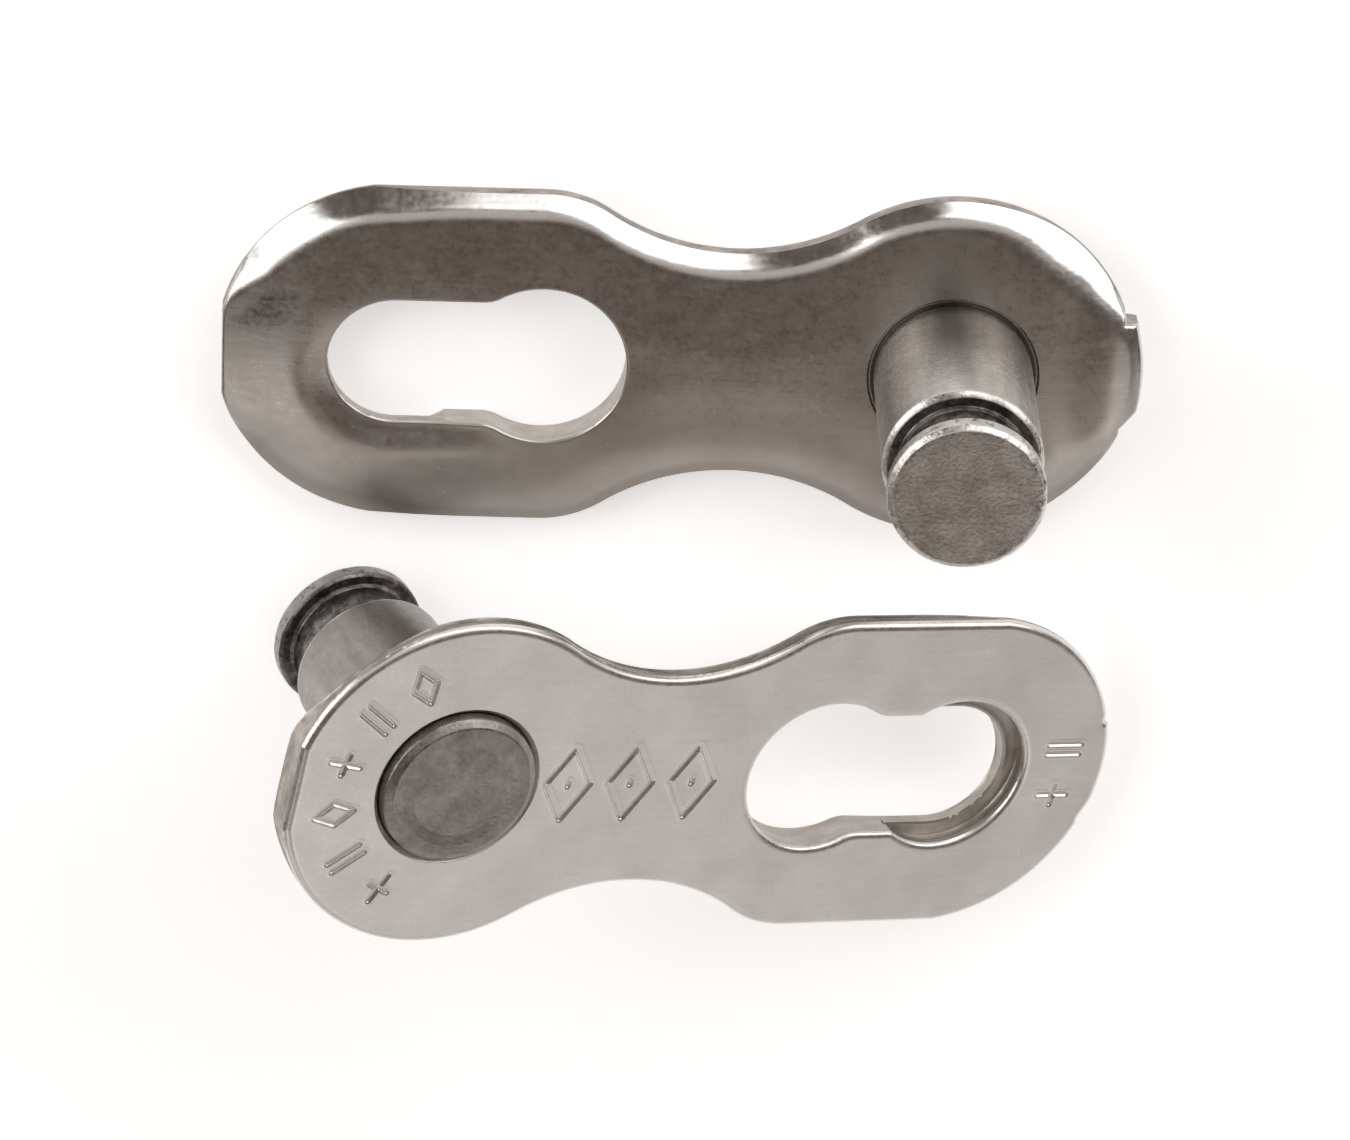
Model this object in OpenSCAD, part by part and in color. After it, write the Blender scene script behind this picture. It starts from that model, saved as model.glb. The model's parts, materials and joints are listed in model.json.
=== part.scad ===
// Connecting link of a narrow roller chain, taken apart into its two halves.
// Each half is a stamped outer plate with a headed pin riveted into one end.
// The other end has a keyhole slot: the mate's head goes in at the entry hole,
// the halves slide along, and the head drops into a recess round the seat.
// Local frame of a half: pin axis at the origin, outer face at z = 0,
// inner face at z = plate_t, pin towards +z, slot towards +x.

/* [Chain] */
// Distance between the pin centres of the closed link
pitch = 12.7; // [11:0.1:15]
// Width of the inner link that the two plates close on
inner_width = 4.45; // [3.5:0.05:6]
// Distance that the halves slide from the entry hole to the seat
slide_travel = 3.32; // [2.8:0.02:3.8]

/* [Plate] */
// Thickness of each plate
plate_t = 1.0; // [0.9:0.05:1.4]
// Radius of the round pin end
pin_end_r = 4.17; // [3.8:0.01:4.8]
// Radius of the arc at the slot end
slot_end_r = 4.12; // [3.9:0.01:4.8]
// How far the flats of the slot end cut into its arc
flat_cut = 0.04; // [0.02:0.01:0.12]
// Width of the waist at its narrowest
waist_w = 5.44; // [4.4:0.02:6.4]
// Radius of the shoulder between the waist and the slot end
shoulder_r = 2.6; // [1.6:0.1:3.2]
// Rounding of the outer face's edge
edge_r = 0.15; // [0.05:0.01:0.2]

/* [Coined bevel] */
// Width of the bevel round the inner face
bevel_w = 0.42; // [0.2:0.01:0.6]
// Depth of the bevel round the inner face
bevel_d = 0.48; // [0.2:0.01:0.6]
// Width of the straight bevels beside the tips
corner_w = 0.65; // [0.45:0.01:0.8]
// Depth of the straight bevels beside the tips
corner_d = 0.62; // [0.4:0.01:0.7]
// Direction of the straight bevels, from the long axis
corner_angle = 51; // [48:1:54]

/* [Tips] */
// Width of the nose left between the notches of one tip
nose_w = 2.7; // [2:0.1:3.2]
// How far the nose stands out at the pin end of half A
nose_out_a = 0.2; // [0:0.01:0.3]
// How far the nose stands out at the slot end of half B
nose_out_b = 0.02; // [0:0.01:0.3]
// Rounding of the inner edge at both tips
tip_round = 0.3; // [0.1:0.02:0.4]
// Side of the square notches that stand on edge at the nose's corners
notch_w = 0.32; // [0.2:0.02:0.4]
// How much the flat sheared tip at the other end is cut back
shear_cut = 0.14; // [0.05:0.01:0.25]

/* [Keyhole slot] */
// Clearance round the pin head in the entry hole and the recess
head_clear = 0.14; // [0.08:0.01:0.25]
// Clearance at each side of the pin's groove in the slot
groove_clear = 0.12; // [0.06:0.01:0.2]
// Radius that blends the slot into the entry hole
blend_r = 0.8; // [0.4:0.05:1.2]
// Depth of the recess round the seat, in the outer face
recess_depth = 0.45; // [0.25:0.01:0.6]

/* [Pin] */
// Diameter of the shank that turns in the chain's bushing
shank_d = 3.64; // [3.5:0.02:3.8]
// Diameter of the tail that is riveted into the plate
tail_d = 3.3; // [3:0.02:3.4]
// Depth that the shank's shoulder is pressed into the inner face
seat_depth = 0.08; // [0.03:0.01:0.15]
// Width of the ring left open round the shank there
seat_gap = 0.14; // [0.05:0.01:0.2]
// Diameter of the head at the free end
head_d = 3.58; // [3.3:0.02:3.8]
// Thickness of the head
head_t = 0.5; // [0.4:0.02:0.7]
// Rounding of the head's edge
head_round = 0.1; // [0.05:0.01:0.15]
// Diameter of the groove under the head
groove_d = 2.9; // [2.6:0.02:3.1]
// Side play of the mate's plate in the groove
groove_play = 0.08; // [0.04:0.01:0.2]
// Chamfer at the end of the shank
shank_chamfer = 0.12; // [0.05:0.01:0.2]
// Diameter of the rivet head on the outer face
rivet_d = 3.76; // [3.6:0.02:3.9]
// Width of the ring left open round the rivet head
rivet_gap = 0.1; // [0.05:0.01:0.15]
// Height of the rivet head above the outer face
rivet_h = 0.25; // [0.15:0.01:0.35]
// Rounding of the rivet head's edge
rivet_round = 0.14; // [0.06:0.01:0.15]

/* [Layout] */
// The halves lie apart as they come to rest, or closed to show the fit
layout = "apart"; // [apart, closed]
// Distance between the pins along half A's long axis
apart_x = 11.2; // [9:0.1:13]
// Distance between the pins across half A's long axis
apart_y = 7.6; // [7.2:0.1:10]
// Angle that half B is turned by, seen from above
apart_turn = -10.5; // [-15:0.5:-6]

/* [Hidden] */
$fn = 96;
cut = 1;
entry_x = pitch - slide_travel;
slot_end_y = slot_end_r - flat_cut;
entry_r = head_d / 2 + head_clear;
slot_y = groove_d / 2 + groove_clear;
shank_r = shank_d / 2;
tail_r = tail_d / 2;
sink_r = rivet_d / 2 + rivet_gap;
shank_l = inner_width - groove_play / 2;
groove_l = plate_t + groove_play;
pin_l = shank_l + groove_l + head_t;

// A circle that touches the pin end and the shoulder from outside. The waist is cut
// with it, grown by a hair so that the cut runs cleanly out into both ends.
hair = 0.005;
half_waist = waist_w / 2 + hair;
rise_pin = pin_end_r - half_waist;
rise_slot = slot_end_y - half_waist;
sum_pin = pin_end_r + half_waist;
sum_slot = 2 * shoulder_r - rise_slot;
run = entry_x ^ 2 - rise_pin * (sum_pin - sum_slot);
lean = rise_pin / rise_slot - 1;
reach = run / (entry_x + sqrt(entry_x ^ 2 + lean * run));
touch_r = (reach ^ 2 / rise_slot - sum_slot) / 2;
waist_x = sqrt(rise_pin * (sum_pin + 2 * touch_r));
waist_y = half_waist + touch_r;
waist_r = touch_r + hair;
shoulder_y = slot_end_y - shoulder_r;
pin_touch = [waist_x, waist_y] * (pin_end_r - hair / 2) / (pin_end_r + touch_r);
slot_touch = [entry_x, shoulder_y]
    + [waist_x - entry_x, waist_y - shoulder_y] * (shoulder_r - hair / 2) / (shoulder_r + touch_r);

// How each half rests: half A on the rim of its rivet head and its sheared tip,
// half B on the rim of its pin head and its nose. Each is the centre and radius
// of the rounded edge that touches, in the half's own frame.
rivet_rim = [rivet_d / 2 - rivet_round, rivet_round - rivet_h, rivet_round];
shear_edge = [pitch + slot_end_r - shear_cut, 0, 0];
head_rim = [head_d / 2 - head_round, head_round - plate_t - pin_l, head_round];
nose_edge = [pitch + slot_end_r + nose_out_b - tip_round, tip_round - plate_t, tip_round];
tilt_a = rest_tilt(rivet_rim, shear_edge);
tilt_b = rest_tilt(head_rim, nose_edge);

function rest_tilt(a, b) =
    asin((a[2] - b[2]) / norm([b[0] - a[0], b[1] - a[1]])) - atan2(a[1] - b[1], b[0] - a[0]);
function rest_lift(a, tilt) = a[2] - a[1] * cos(tilt) + a[0] * sin(tilt);

// Middle of the box round both halves, which is the origin. Half A's two tips reach
// furthest along x, its pin end to one side, and half B's slot end to the other side.
shear_top = plate_t - tip_round + sqrt(tip_round ^ 2 - max(0, tip_round - shear_cut) ^ 2);
low_x = -(pin_end_r + nose_out_a - edge_r) * cos(tilt_a) + edge_r * sin(tilt_a) - edge_r;
high_x = shear_edge[0] * cos(tilt_a) + shear_top * sin(tilt_a);
turn_b = 180 + apart_turn;
across_b = [sin(turn_b) * cos(tilt_b), -cos(turn_b)];
high_y = apart_y + across_b.x * pitch + norm(across_b) * (slot_end_r - edge_r)
    - sin(turn_b) * sin(tilt_b) * edge_r + edge_r;
middle = [(low_x + high_x) / 2, (high_y - pin_end_r) / 2];

module rim_profile(r) {
    polygon([
        [0, edge_r], [r, edge_r], [r, plate_t - bevel_d], [r - bevel_w, plate_t], [0, plate_t]
    ]);
    square([r - edge_r, edge_r]);
    translate([r - edge_r, edge_r]) circle(edge_r);
}

module waist_profile() {
    flare = bevel_w * (1 + cut / bevel_d);
    difference() {
        polygon([
            [0, -cut], [waist_r + edge_r, -cut], [waist_r + edge_r, edge_r], [waist_r, edge_r],
            [waist_r, plate_t - bevel_d], [waist_r + flare, plate_t + cut], [0, plate_t + cut]
        ]);
        translate([waist_r + edge_r, edge_r]) circle(edge_r);
    }
}

module tip_profile(r) {
    square([r - tip_round, plate_t]);
    translate([0, edge_r]) square([r, plate_t - edge_r - tip_round]);
    square([r - edge_r, plate_t - tip_round]);
    translate([r - edge_r, edge_r]) circle(edge_r);
    translate([r - tip_round, plate_t - tip_round]) circle(tip_round);
}

module slot_end_bar(length) {
    rotate([90, 0, 90]) linear_extrude(length) {
        rim_profile(slot_end_y);
        mirror([1, 0]) rim_profile(slot_end_y);
    }
}

module waist_block() {
    linear_extrude(plate_t) polygon([
        [0, 0], pin_touch, slot_touch, [entry_x, shoulder_y],
        [entry_x, -shoulder_y], [slot_touch.x, -slot_touch.y], [pin_touch.x, -pin_touch.y]
    ]);
}

module waist_cuts() {
    for (side = [-1, 1]) translate([waist_x, side * waist_y]) rotate_extrude() waist_profile();
}

module slot_end() {
    for (side = [-1, 1]) translate([entry_x, side * shoulder_y]) rotate_extrude() rim_profile(shoulder_r);
    translate([entry_x, 0]) slot_end_bar(slide_travel);
    intersection() {
        translate([pitch, 0]) rotate_extrude() rim_profile(slot_end_r);
        translate([entry_x, 0]) slot_end_bar(slide_travel + slot_end_r + cut);
    }
}

// Plain end between the bevels, towards +x of a round end of radius r
module tip(r) {
    intersection() {
        rotate_extrude() tip_profile(r);
        translate([0, -nose_w / 2]) cube([r + cut, nose_w, plate_t]);
    }
}

module corner_bevels(r) {
    for (side = [-1, 1]) rotate([0, 0, side * corner_angle]) translate([r - corner_w, 0, plate_t])
        rotate([0, atan(corner_d / corner_w), 0]) translate([0, -r]) cube([r, 2 * r, 2 * plate_t]);
}

module notches(r) {
    for (side = [-1, 1]) rotate([0, 0, side * asin(nose_w / 2 / r)]) translate([r + notch_w / 4, 0, -cut])
        rotate([0, 0, 45]) translate([-notch_w / 2, -notch_w / 2]) cube([notch_w, notch_w, plate_t + 2 * cut]);
}

module shear(r) {
    translate([r - shear_cut, -r, -cut]) cube([r, 2 * r, plate_t + 2 * cut]);
}

// Outline of the slot, from the middle of its entry hole
module keyhole_outline() {
    blend_y = slot_y + blend_r;
    blend_x = sqrt((entry_r + blend_r) ^ 2 - blend_y ^ 2);
    difference() {
        union() {
            circle(entry_r);
            translate([slide_travel, 0]) circle(slot_y);
            translate([0, -slot_y]) square([slide_travel, 2 * slot_y]);
            polygon([[0, 0], [blend_x, blend_y], [blend_x, -blend_y]]);
        }
        for (side = [-1, 1]) translate([blend_x, side * blend_y]) circle(blend_r + hair);
    }
}

module keyhole() {
    translate([entry_x, 0, -cut]) linear_extrude(plate_t + 2 * cut) keyhole_outline();
    translate([pitch, 0, -cut]) cylinder(r = entry_r, h = recess_depth + cut);
}

// Hole for the riveted tail, countersunk outside and with a seat for the shoulder inside
module pin_hole() {
    translate([0, 0, -cut]) cylinder(r = tail_r, h = plate_t + 2 * cut);
    cylinder(r1 = sink_r, r2 = tail_r, h = sink_r - tail_r);
    translate([0, 0, plate_t - seat_depth]) cylinder(r = shank_r + seat_gap, h = seat_depth + cut);
}

module outer_plate(pin_end_tip, slot_end_tip) {
    difference() {
        union() {
            rotate_extrude() rim_profile(pin_end_r);
            waist_block();
            slot_end();
            rotate([0, 0, 180]) tip(pin_end_tip);
            translate([pitch, 0]) tip(slot_end_tip);
        }
        waist_cuts();
        rotate([0, 0, 180]) corner_bevels(pin_end_r);
        translate([pitch, 0]) corner_bevels(slot_end_r);
        keyhole();
        pin_hole();
    }
}

module pin() {
    groove_z = plate_t + shank_l;
    head_z = groove_z + groove_l;
    rotate_extrude() {
        // rivet head, which fills the countersink
        translate([0, -rivet_h]) square([rivet_d / 2 - rivet_round, rivet_round]);
        translate([rivet_d / 2 - rivet_round, rivet_round - rivet_h]) circle(rivet_round);
        polygon([
            [0, rivet_round - rivet_h], [rivet_d / 2, rivet_round - rivet_h],
            [rivet_d / 2, rivet_gap], [tail_r, sink_r - tail_r],
            [tail_r, plate_t - seat_depth], [shank_r, plate_t - seat_depth],
            [shank_r, groove_z - shank_chamfer], [shank_r - shank_chamfer, groove_z],
            [groove_d / 2, groove_z], [groove_d / 2, head_z],
            [head_d / 2, head_z], [head_d / 2, head_z + head_t - head_round],
            [0, head_z + head_t - head_round]
        ]);
        translate([0, head_z + head_t - head_round]) square([head_d / 2 - head_round, head_round]);
        translate([head_d / 2 - head_round, head_z + head_t - head_round]) circle(head_round);
    }
}

module place_a() {
    translate([-middle.x, -middle.y, rest_lift(rivet_rim, tilt_a)]) rotate([0, tilt_a, 0]) children();
}

module place_b() {
    closed_gap = shank_l + groove_l - (plate_t - recess_depth) - groove_play / 2;
    if (layout == "closed") place_a()
        translate([pitch, 0, 2 * plate_t + closed_gap]) rotate([0, 180, 0]) children();
    else
        translate([apart_x - middle.x, apart_y - middle.y, rest_lift(head_rim, tilt_b)])
            rotate([0, tilt_b, turn_b]) rotate([180, 0, 0]) children();
}

module outer_plate_a() {
    color([0.55, 0.51, 0.48]) place_a() difference() {
        outer_plate(pin_end_r + nose_out_a, slot_end_r);
        rotate([0, 0, 180]) notches(pin_end_r);
        translate([pitch, 0]) shear(slot_end_r);
    }
}

module outer_plate_b() {
    color([0.67, 0.64, 0.62]) place_b() difference() {
        outer_plate(pin_end_r, slot_end_r + nose_out_b);
        translate([pitch, 0]) notches(slot_end_r);
        rotate([0, 0, 180]) shear(pin_end_r);
    }
}

module pin_a() {
    color([0.47, 0.45, 0.44]) place_a() pin();
}

module pin_b() {
    color([0.42, 0.41, 0.40]) place_b() pin();
}

outer_plate_a();
pin_a();
outer_plate_b();
pin_b();
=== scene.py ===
"""Looks of a roller chain's connecting link, which lies open as two halves on a white ground.

Each half is a stamped, nickel plated plate with a bare steel pin riveted into it. The plates and
pins are drawn in millimetres in the half's own frame, as its maker would: pin axis at the origin,
outer face at z = 0, inner face at z = PLATE_T, slot towards +x. placement() then finds where the
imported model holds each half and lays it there, in metres.
"""
import json
import math

import bmesh
import bpy
import numpy as np
from mathutils import Matrix, Vector
from mathutils.geometry import delaunay_2d_cdt


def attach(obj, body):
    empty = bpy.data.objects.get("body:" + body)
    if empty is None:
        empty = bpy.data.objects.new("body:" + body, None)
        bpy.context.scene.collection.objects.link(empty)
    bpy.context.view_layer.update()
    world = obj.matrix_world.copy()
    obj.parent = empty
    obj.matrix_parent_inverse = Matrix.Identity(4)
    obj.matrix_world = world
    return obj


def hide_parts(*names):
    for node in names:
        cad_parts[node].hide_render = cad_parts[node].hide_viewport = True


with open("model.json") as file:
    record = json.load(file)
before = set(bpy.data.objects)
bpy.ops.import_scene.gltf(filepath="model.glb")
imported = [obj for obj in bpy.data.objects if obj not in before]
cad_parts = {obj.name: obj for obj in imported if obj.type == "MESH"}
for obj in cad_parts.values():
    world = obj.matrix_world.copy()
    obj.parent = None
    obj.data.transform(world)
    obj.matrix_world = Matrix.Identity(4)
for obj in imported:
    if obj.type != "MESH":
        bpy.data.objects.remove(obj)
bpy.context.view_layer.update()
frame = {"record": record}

MM = 0.001

# Driving sizes of the link, in millimetres
PITCH = 12.7
INNER_WIDTH = 4.45
SLIDE_TRAVEL = 3.32
PLATE_T = 1.0
PIN_END_R = 4.17
SLOT_END_R = 4.12
FLAT_CUT = 0.04
WAIST_W = 5.44
SHOULDER_R = 2.6
BEVEL_W = 0.42
BEVEL_D = 0.48
CORNER_W = 0.65
PIN_CORNER_W = CORNER_W + 0.12
CORNER_D = 0.62
CORNER_ANGLE = math.radians(51)
NOSE_W = 2.7
NOTCH_W = 0.32
NOTCH_DENT = 0.05
NOSE_LEAN = 0.11
NOSE_SLANT = 0.5
SHEAR_CUT = 0.14
HEAD_CLEAR = 0.14
GROOVE_CLEAR = 0.12
BLEND_R = 0.8
RECESS_DEPTH = 0.45
SHANK_D = 3.64
TAIL_D = 3.3
SEAT_DEPTH = 0.08
SEAT_GAP = 0.14
HEAD_D = 3.58
HEAD_T = 0.5
GROOVE_D = 2.9
GROOVE_PLAY = 0.08
RIVET_D = 3.76
RIVET_GAP = 0.1
RIVET_H = 0.25

# Values worked out from them
ENTRY_X = PITCH - SLIDE_TRAVEL
SLOT_END_Y = SLOT_END_R - FLAT_CUT
FLAT_END_X = PITCH + math.sqrt(SLOT_END_R ** 2 - SLOT_END_Y ** 2)
HEAD_R = HEAD_D / 2
ENTRY_R = HEAD_R + HEAD_CLEAR
SLOT_Y = GROOVE_D / 2 + GROOVE_CLEAR
SINK_R = RIVET_D / 2 + RIVET_GAP
TAIL_R = TAIL_D / 2
SHANK_L = INNER_WIDTH - GROOVE_PLAY / 2
GROOVE_L = PLATE_T + GROOVE_PLAY
GROOVE_Z = PLATE_T + SHANK_L
HEAD_Z = GROOVE_Z + GROOVE_L
TOP_Z = HEAD_Z + HEAD_T

# Fineness of the meshes, in millimetres
ROW_STEP = 0.072
GRID_STEP = 0.12
FINE_STEP = 0.04
RIDGE_STEP = 0.05
RIDGE_BAND = 0.2
STROKE_STEP = 0.05
PROFILE_STEP = 0.07
WALL_ROWS = 12
PIN_TURNS = 224

# The gap that the weld closes, in metres, and the angle from which an edge stays sharp
MERGE_GAP = 1e-7
HARD_ANGLE = math.radians(38)


# Outlines, made of arcs and lines

OVER_X = (1, -1)
OVER_Y = (-1, 1)


def arc(centre, radius, start, end):
    return ("arc", np.array(centre, float), radius, start, end)


def line(start, end):
    return ("line", np.array(start, float), np.array(end, float))


def ends(piece):
    """First and last point of a piece."""
    if piece[0] == "line":
        return piece[1], piece[2]
    _, centre, radius, start, end = piece
    return [centre + radius * np.array([math.cos(a), math.sin(a)]) for a in (start, end)]


def chain_end(pieces):
    return np.array([ends(pieces[-1])[1]])


def reflected(pieces, flip):
    """The same pieces mirrored over the x or the y axis, in running order."""
    half_turn = math.pi if flip == OVER_Y else 0
    out = []
    for piece in reversed(pieces):
        if piece[0] == "line":
            out.append(line(piece[2] * flip, piece[1] * flip))
        else:
            _, centre, radius, start, end = piece
            out.append(arc(centre * flip, radius, half_turn - end, half_turn - start))
    return out


def moved(pieces, x):
    """The same pieces, moved along x."""
    out = []
    for piece in pieces:
        if piece[0] == "line":
            out.append(line(piece[1] + (x, 0), piece[2] + (x, 0)))
        else:
            out.append(arc(piece[1] + (x, 0), *piece[2:]))
    return out


def sample(pieces, step):
    """Points along the pieces, and the direction square to the outline at each of them."""
    points, normals = [], []
    for piece in pieces:
        if piece[0] == "line":
            run = piece[2] - piece[1]
            length = np.linalg.norm(run)
            count = max(1, round(length / step))
            t = np.arange(count)[:, None] / count
            points.append(piece[1] + run * t)
            normals.append(np.repeat([[run[1], -run[0]]], count, 0) / length)
        else:
            _, centre, radius, start, end = piece
            count = max(1, round(abs(end - start) * radius / step))
            a = start + (end - start) * np.arange(count) / count
            ray = np.stack([np.cos(a), np.sin(a)], 1)
            points.append(centre + radius * ray)
            normals.append(-ray if end < start else ray)
    return np.concatenate(points), np.concatenate(normals)


def distance(pieces, points):
    """Shortest distance from each point to the outline."""
    best = np.full(len(points), np.inf)
    for piece in pieces:
        if piece[0] == "line":
            run = piece[2] - piece[1]
            t = np.clip((points - piece[1]) @ run / (run @ run), 0, 1)
            near = np.linalg.norm(points - piece[1] - t[:, None] * run, axis=1)
        else:
            _, centre, radius, start, end = piece
            rel = points - centre
            low, span = min(start, end), abs(end - start)
            turn = (np.arctan2(rel[:, 1], rel[:, 0]) - low) % (2 * math.pi)
            near = abs(np.linalg.norm(rel, axis=1) - radius)
            tips = [np.linalg.norm(points - tip, axis=1) for tip in ends(piece)]
            near = np.where(turn <= span, near, np.minimum(*tips))
        best = np.minimum(best, near)
    return best


def inside(points, loop):
    """Even-odd test of points against a closed loop of points."""
    odd = np.zeros(len(points), bool)
    following = np.roll(loop, -1, 0)
    for (x0, y0), (x1, y1) in zip(loop, following):
        if y0 == y1:
            continue
        crosses = (y0 > points[:, 1]) != (y1 > points[:, 1])
        odd ^= crosses & (points[:, 0] < x0 + (points[:, 1] - y0) * (x1 - x0) / (y1 - y0))
    return odd


def waist_arcs():
    """Angle at which the pin end meets the waist, and the upper edge from there to the slot end."""
    rise_pin = PIN_END_R - WAIST_W / 2
    rise_slot = SLOT_END_Y - WAIST_W / 2
    sum_pin = PIN_END_R + WAIST_W / 2
    sum_slot = 2 * SHOULDER_R - rise_slot
    run = ENTRY_X ** 2 - rise_pin * (sum_pin - sum_slot)
    lean = rise_pin / rise_slot - 1
    reach = run / (ENTRY_X + math.sqrt(ENTRY_X ** 2 + lean * run))
    radius = (reach ** 2 / rise_slot - sum_slot) / 2
    centre = np.array([math.sqrt(rise_pin * (sum_pin + 2 * radius)), WAIST_W / 2 + radius])
    shoulder = np.array([ENTRY_X, SLOT_END_Y - SHOULDER_R])
    from_pin = math.atan2(centre[1], centre[0])
    to_shoulder = math.atan2(shoulder[1] - centre[1], shoulder[0] - centre[0])
    return from_pin, [
        arc(centre, radius, from_pin - math.pi, to_shoulder),
        arc(shoulder, SHOULDER_R, to_shoulder + math.pi, math.pi / 2),
        line((ENTRY_X, SLOT_END_Y), (FLAT_END_X, SLOT_END_Y)),
    ]


# A tip is round, sheared flat, or has a nose, which is then given by how far it stands out
ROUND = "round"
SHEARED = "sheared"


def tip_pieces(radius, nose, lean):
    """Angle at which an end's arc stops, and the upper half of its tip, which faces +x about the origin.
    lean is the width over which the side of a nose rises."""
    if nose == ROUND:
        return 0, []
    if nose == SHEARED:
        flat_x = radius - SHEAR_CUT
        angle = math.acos(flat_x / radius)
        return angle, [line((flat_x, radius * math.sin(angle)), (flat_x, 0))]
    mark = math.asin(NOSE_W / 2 / radius)
    nose_r = radius + nose

    def corner(r, sideways):
        a = mark + sideways / radius
        return np.array([r * math.cos(a), r * math.sin(a)])

    corners = [corner(radius, NOTCH_W / 2), corner(radius - NOTCH_DENT, 0), corner(nose_r, -lean)]
    pieces = [line(a, b) for a, b in zip(corners, corners[1:])]
    pieces.append(arc((0, 0), nose_r, mark - lean / radius, 0))
    return mark + NOTCH_W / 2 / radius, pieces


def outline_side(pin_nose, slot_nose, lean):
    """The half of a plate's outline with y above nought, from the pin's tip to the slot's."""
    from_pin, waist = waist_arcs()
    pin_angle, pin_tip = tip_pieces(PIN_END_R, pin_nose, lean)
    slot_angle, slot_tip = tip_pieces(SLOT_END_R, slot_nose, lean)
    flat_angle = math.asin(SLOT_END_Y / SLOT_END_R)
    side = reflected(pin_tip, OVER_Y)
    side.append(arc((0, 0), PIN_END_R, math.pi - pin_angle, from_pin))
    side += waist
    side.append(arc((PITCH, 0), SLOT_END_R, flat_angle, slot_angle))
    side += moved(slot_tip, PITCH)
    return side


def plate_outline(pin_nose, slot_nose):
    """Outline of a plate, clockwise seen from above the inner face. Each nose has one slanted side."""
    slanted = outline_side(pin_nose, slot_nose, NOSE_SLANT)
    return slanted + reflected(outline_side(pin_nose, slot_nose, NOSE_LEAN), OVER_X)


def keyhole_sides():
    """The slot's outline in two runs that part at the recess, and the recess's own arc."""
    blend_y = SLOT_Y + BLEND_R
    blend_x = math.sqrt((ENTRY_R + BLEND_R) ** 2 - blend_y ** 2)
    blend = np.array([ENTRY_X + blend_x, blend_y])
    beta = math.atan2(blend_y, blend_x)
    part_x = PITCH - math.sqrt(ENTRY_R ** 2 - SLOT_Y ** 2)
    entry_half = [
        arc((ENTRY_X, 0), ENTRY_R, math.pi, beta),
        arc(blend, BLEND_R, beta + math.pi, 1.5 * math.pi),
        line((blend[0], SLOT_Y), (part_x, SLOT_Y)),
    ]
    seat_half = [
        line((part_x, SLOT_Y), (PITCH, SLOT_Y)),
        arc((PITCH, 0), SLOT_Y, math.pi / 2, 0),
    ]
    part_angle = math.atan2(SLOT_Y, part_x - PITCH)
    entry_side = reflected(entry_half, OVER_X) + entry_half
    seat_side = seat_half + reflected(seat_half, OVER_X)
    recess = [arc((PITCH, 0), ENTRY_R, part_angle, -part_angle)]
    return entry_side, seat_side, recess


HUB = sample([arc((0, 0), TAIL_R, 2 * math.pi, 0)], ROW_STEP)


def half_shape(half):
    """Edges of a plate as pieces, and the same edges as rows of points."""
    entry, seat, recess = keyhole_sides()
    plain = plate_outline(ROUND, ROUND)
    edges = {
        "outline": plate_outline(half["pin_nose"], half["slot_nose"]), "round": plain,
        "entry_side": entry, "seat_side": seat, "recess": recess,
        "slot": entry + seat, "slot_outside": entry + recess,
    }
    rows = {name: sample(pieces, ROW_STEP) for name, pieces in edges.items()}
    return {**half, **edges, "rows": rows}


# Generic stamped marks on the outer face, as strokes of one pressed line

MARK_W = 0.16
MARK_DEPTH = 0.05
BURR = 0.004
BURR_AT = 1.25
BURR_W = 0.3
LOZENGE = [[(0, -0.5), (0.3, 0), (0, 0.5), (-0.3, 0), (0, -0.5)]]
BARS = [[(-0.14, -0.45), (-0.14, 0.45)], [(0.14, -0.45), (0.14, 0.45)]]
CROSS = [[(0, -0.4), (0, 0.4)], [(-0.28, 0), (0.28, 0)]]
DOTTED_LOZENGE = LOZENGE + [[(0, -0.03), (0, 0.03)]]
LARGE_MARK = 1.9
SMALL_MARK = 0.95
WAIST_MARKS = 3
WAIST_MARK_X = 2.78
WAIST_MARK_STEP = 1.58
RING_MARKS = (LOZENGE, BARS, CROSS, LOZENGE, BARS, CROSS)
RING_MARK_R = 2.98
RING_MARK_STEP = math.radians(25)
TIP_MARKS = ((BARS, -0.62), (CROSS, 0.62))
TIP_MARK_X = PITCH + 2.9


def glyph_strokes(glyph, centre, turn, size):
    """Strokes of a glyph that is drawn in a box one high, placed on the plate."""
    c, s = math.cos(turn) * size, math.sin(turn) * size
    rot = np.array([[c, -s], [s, c]])
    strokes = []
    for path in glyph:
        placed = [np.array(centre) + rot @ np.array(p) for p in path]
        strokes += zip(placed, placed[1:])
    return strokes


def stamped_marks():
    """Large marks at the waist, a ring of small ones round the pin end, two at the slot's tip."""
    strokes = []
    for k in range(WAIST_MARKS):
        centre = (WAIST_MARK_X + WAIST_MARK_STEP * k, 0)
        strokes += glyph_strokes(DOTTED_LOZENGE, centre, 0, LARGE_MARK)
    for k, glyph in enumerate(RING_MARKS):
        angle = math.pi - (k - (len(RING_MARKS) - 1) / 2) * RING_MARK_STEP
        centre = (RING_MARK_R * math.cos(angle), RING_MARK_R * math.sin(angle))
        strokes += glyph_strokes(glyph, centre, angle - math.pi / 2, SMALL_MARK)
    for glyph, y in TIP_MARKS:
        strokes += glyph_strokes(glyph, (TIP_MARK_X, y), math.pi / 2, SMALL_MARK)
    return strokes


STROKES = stamped_marks()


def stroke_distance(points):
    best = np.full(len(points), np.inf)
    for start, end in STROKES:
        best = np.minimum(best, distance([line(start, end)], points))
    return best


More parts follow.
